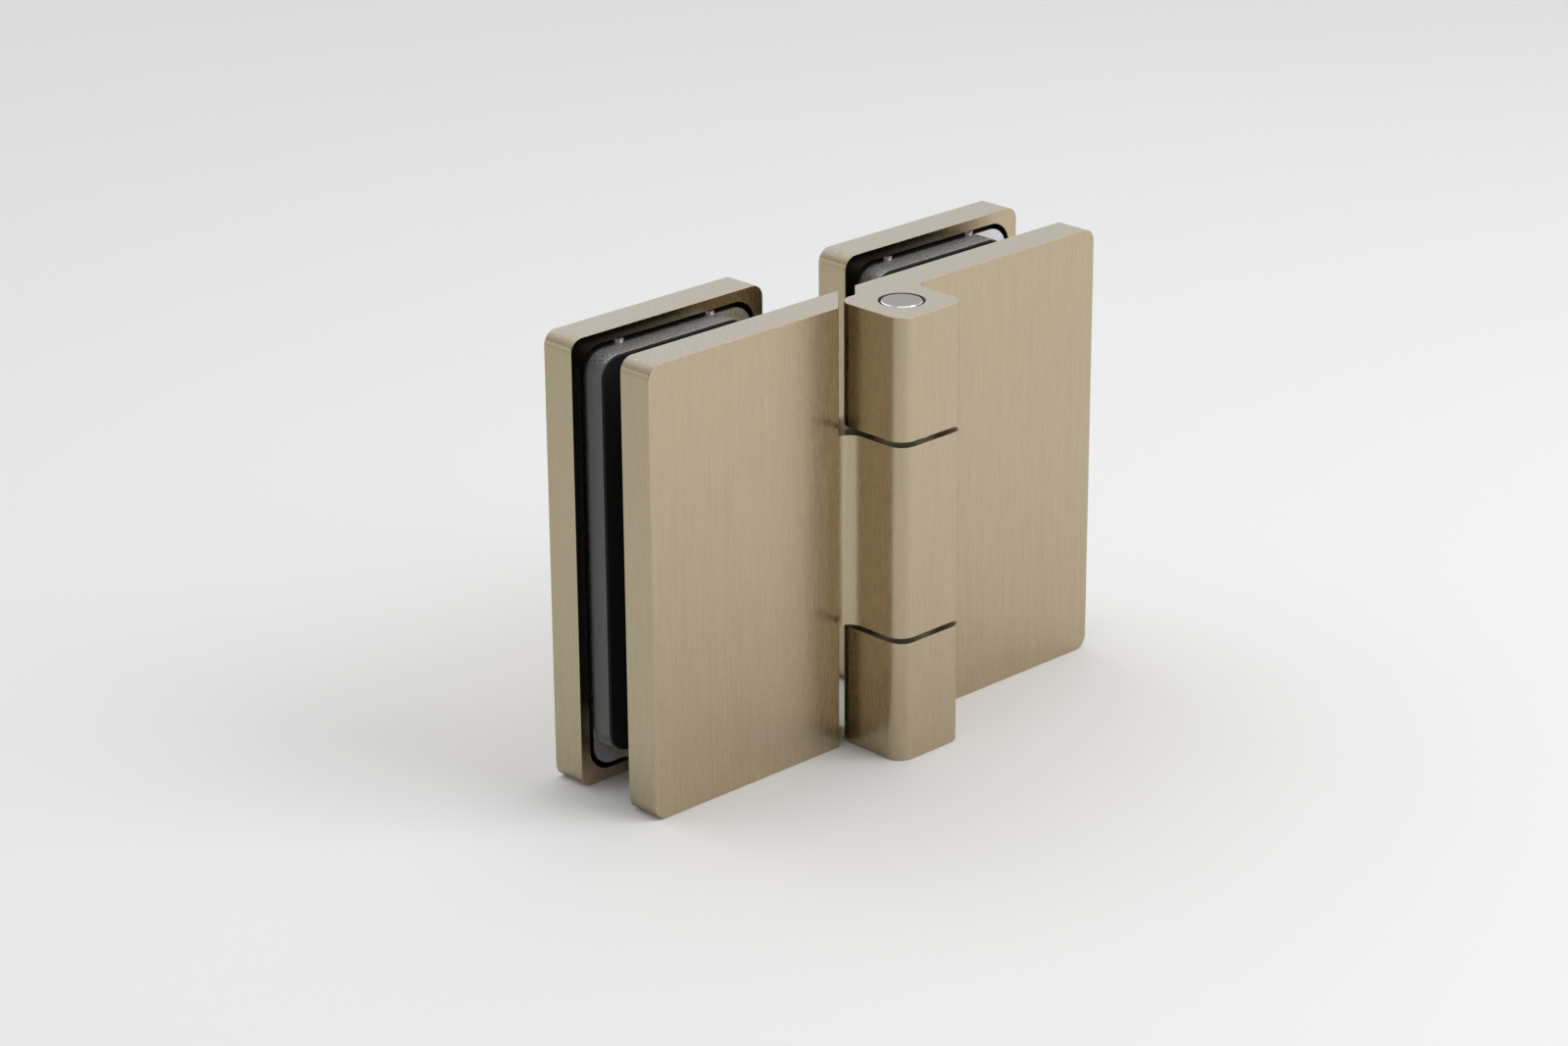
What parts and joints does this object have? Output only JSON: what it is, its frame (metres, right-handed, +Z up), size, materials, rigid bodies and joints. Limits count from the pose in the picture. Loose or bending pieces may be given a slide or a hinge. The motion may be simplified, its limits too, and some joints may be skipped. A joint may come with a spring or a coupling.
{
  "type": "glass door hinge",
  "caption": "Pane-to-pane glass door hinge: two clamped leaves with square knuckles on one upright pin, opening to the knuckle side.",
  "frame": {"origin": "on the pin's axis, level with the lower ends of the plates and knuckles", "axes": "+X to the right leaf's outer end, +Y to the back, where the cover plates are, +Z up along the pin"},
  "size_m": [0.1194, 0.0424, 0.09],
  "materials": {
    "champagne_metal": "brushed, champagne coloured",
    "block_metal": "dull dark grey, fine grained",
    "pin_steel": "polished steel",
    "screw_steel": "bright steel",
    "washer_steel": "bright steel",
    "gasket_rubber": "matt black",
    "bearing_plastic": "black, smooth"
  },
  "bodies": {
    "right_side": {"right_leaf": "champagne_metal", "right_cover": "champagne_metal", "right_clamp_block": "block_metal", "right_front_gasket": "gasket_rubber", "right_clamp_gasket": "gasket_rubber", "right_screw_sleeves": "bearing_plastic", "right_clamp_screws": "screw_steel", "right_cover_screws": "screw_steel", "hinge_pin": "pin_steel", "lower_washer": "washer_steel", "upper_washer": "washer_steel"},
    "left_side": {"left_leaf": "champagne_metal", "left_cover": "champagne_metal", "left_clamp_block": "block_metal", "left_front_gasket": "gasket_rubber", "left_clamp_gasket": "gasket_rubber", "left_screw_sleeves": "bearing_plastic", "left_clamp_screws": "screw_steel", "left_cover_screws": "screw_steel", "lower_bush": "bearing_plastic", "upper_bush": "bearing_plastic"}
  },
  "joints": [
    {"name": "leaf_swing", "type": "hinge", "parent": "right_side", "child": "left_side", "pos_m": [0, 0, 0.045], "axis": [0, 0, 1], "range_deg": [0, 180]}
  ]
}
